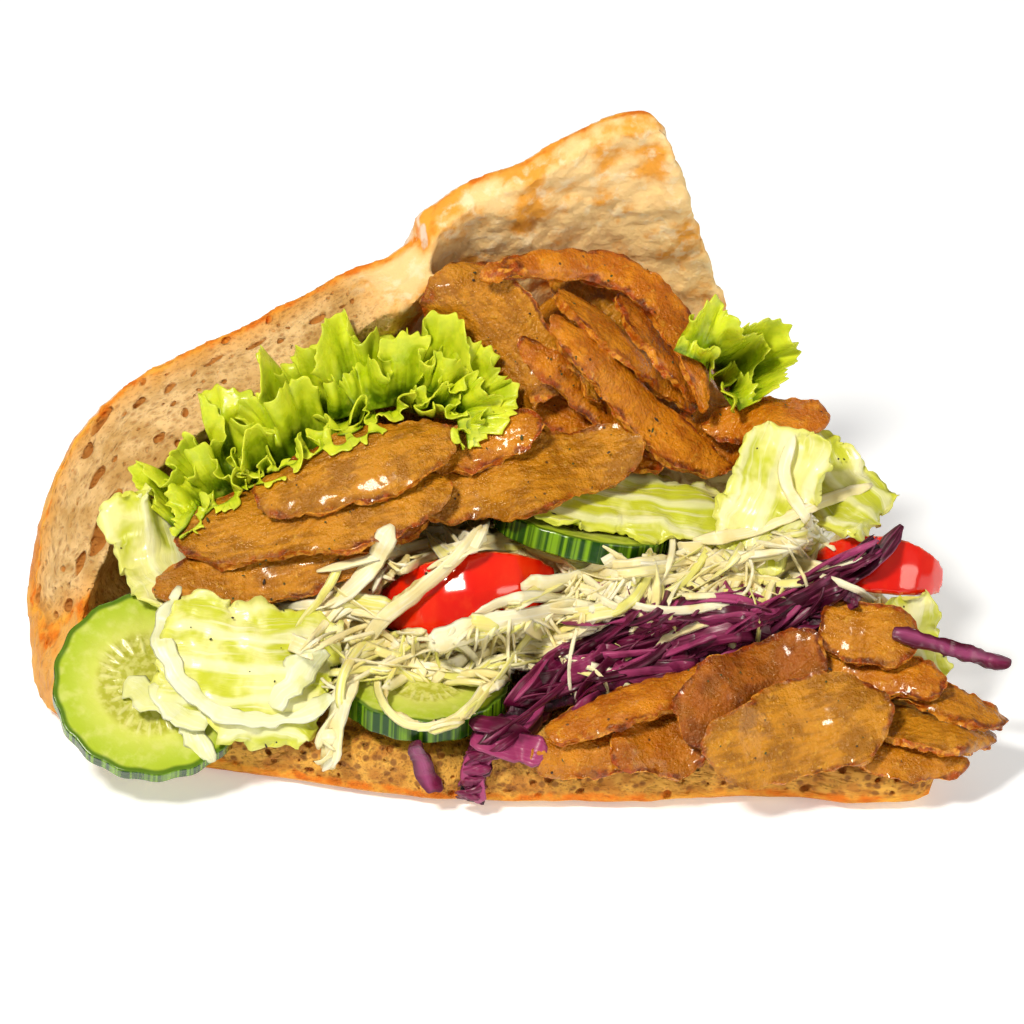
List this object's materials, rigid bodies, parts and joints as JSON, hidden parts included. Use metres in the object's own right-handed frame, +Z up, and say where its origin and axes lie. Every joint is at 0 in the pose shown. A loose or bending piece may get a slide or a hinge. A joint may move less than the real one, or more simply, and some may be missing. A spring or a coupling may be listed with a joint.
{
  "type": "doner kebab sandwich",
  "caption": "Wedge of flatbread folded open and heaped with carved meat slices, shredded cabbage, lettuce leaves, tomato wedges and cucumber rounds",
  "frame": {"origin": "on the flat underside of the bread, below the middle of the filling", "axes": "+X to the right end of the sandwich as seen from its open side, +Y from the open side to the fold, +Z up"},
  "size_m": [0.1965, 0.1334, 0.111],
  "materials": {
    "bread": "golden baked crust, open crumb on the cut faces",
    "meat": "seared golden brown, slightly greasy",
    "white_cabbage": "pale cream, moist",
    "red_cabbage": "dark magenta, moist",
    "curly_lettuce": "bright yellow green, ruffled",
    "iceberg": "pale yellow green with whitish ribs",
    "cucumber": "pale green flesh with a dark green rind",
    "tomato": "smooth saturated red skin"
  },
  "bodies": {
    "root": {"bread": "bread", "cabbage_fold": "white_cabbage", "cabbage_wide": "white_cabbage", "cucumber_left": "cucumber", "cucumber_middle": "cucumber", "cucumber_right": "cucumber", "curly_left": "curly_lettuce", "curly_middle": "curly_lettuce", "curly_right": "curly_lettuce", "curly_tip": "curly_lettuce", "curly_top": "curly_lettuce", "iceberg_cup": "iceberg", "iceberg_edge": "iceberg", "iceberg_front": "iceberg", "iceberg_left": "iceberg", "iceberg_long": "iceberg", "iceberg_rear": "iceberg", "meat_bed": "meat", "meat_left_long": "meat", "meat_left_scrap": "meat", "meat_left_strip": "meat", "meat_left_top": "meat", "meat_left_under": "meat", "meat_lower_chip": "meat", "meat_lower_crumbly": "meat", "meat_lower_dark": "meat", "meat_lower_edge": "meat", "meat_lower_finger": "meat", "meat_lower_flat": "meat", "meat_lower_front": "meat", "meat_lower_point": "meat", "meat_lower_red": "meat", "meat_lower_slim": "meat", "meat_pile_arch": "meat", "meat_pile_chip": "meat", "meat_pile_edge": "meat", "meat_pile_hump": "meat", "meat_pile_inner": "meat", "meat_pile_long": "meat", "meat_pile_low": "meat", "meat_pile_pale": "meat", "meat_pile_strip": "meat", "meat_pile_top": "meat", "meat_right_flat": "meat", "meat_right_tip": "meat", "meat_upper_small": "meat", "meat_upper_wide": "meat", "red_cabbage": "red_cabbage", "red_cabbage_scrap": "red_cabbage", "red_cabbage_tendril": "red_cabbage", "tomato_left": "tomato", "tomato_right": "tomato", "white_cabbage": "white_cabbage"}
  },
  "joints": []
}
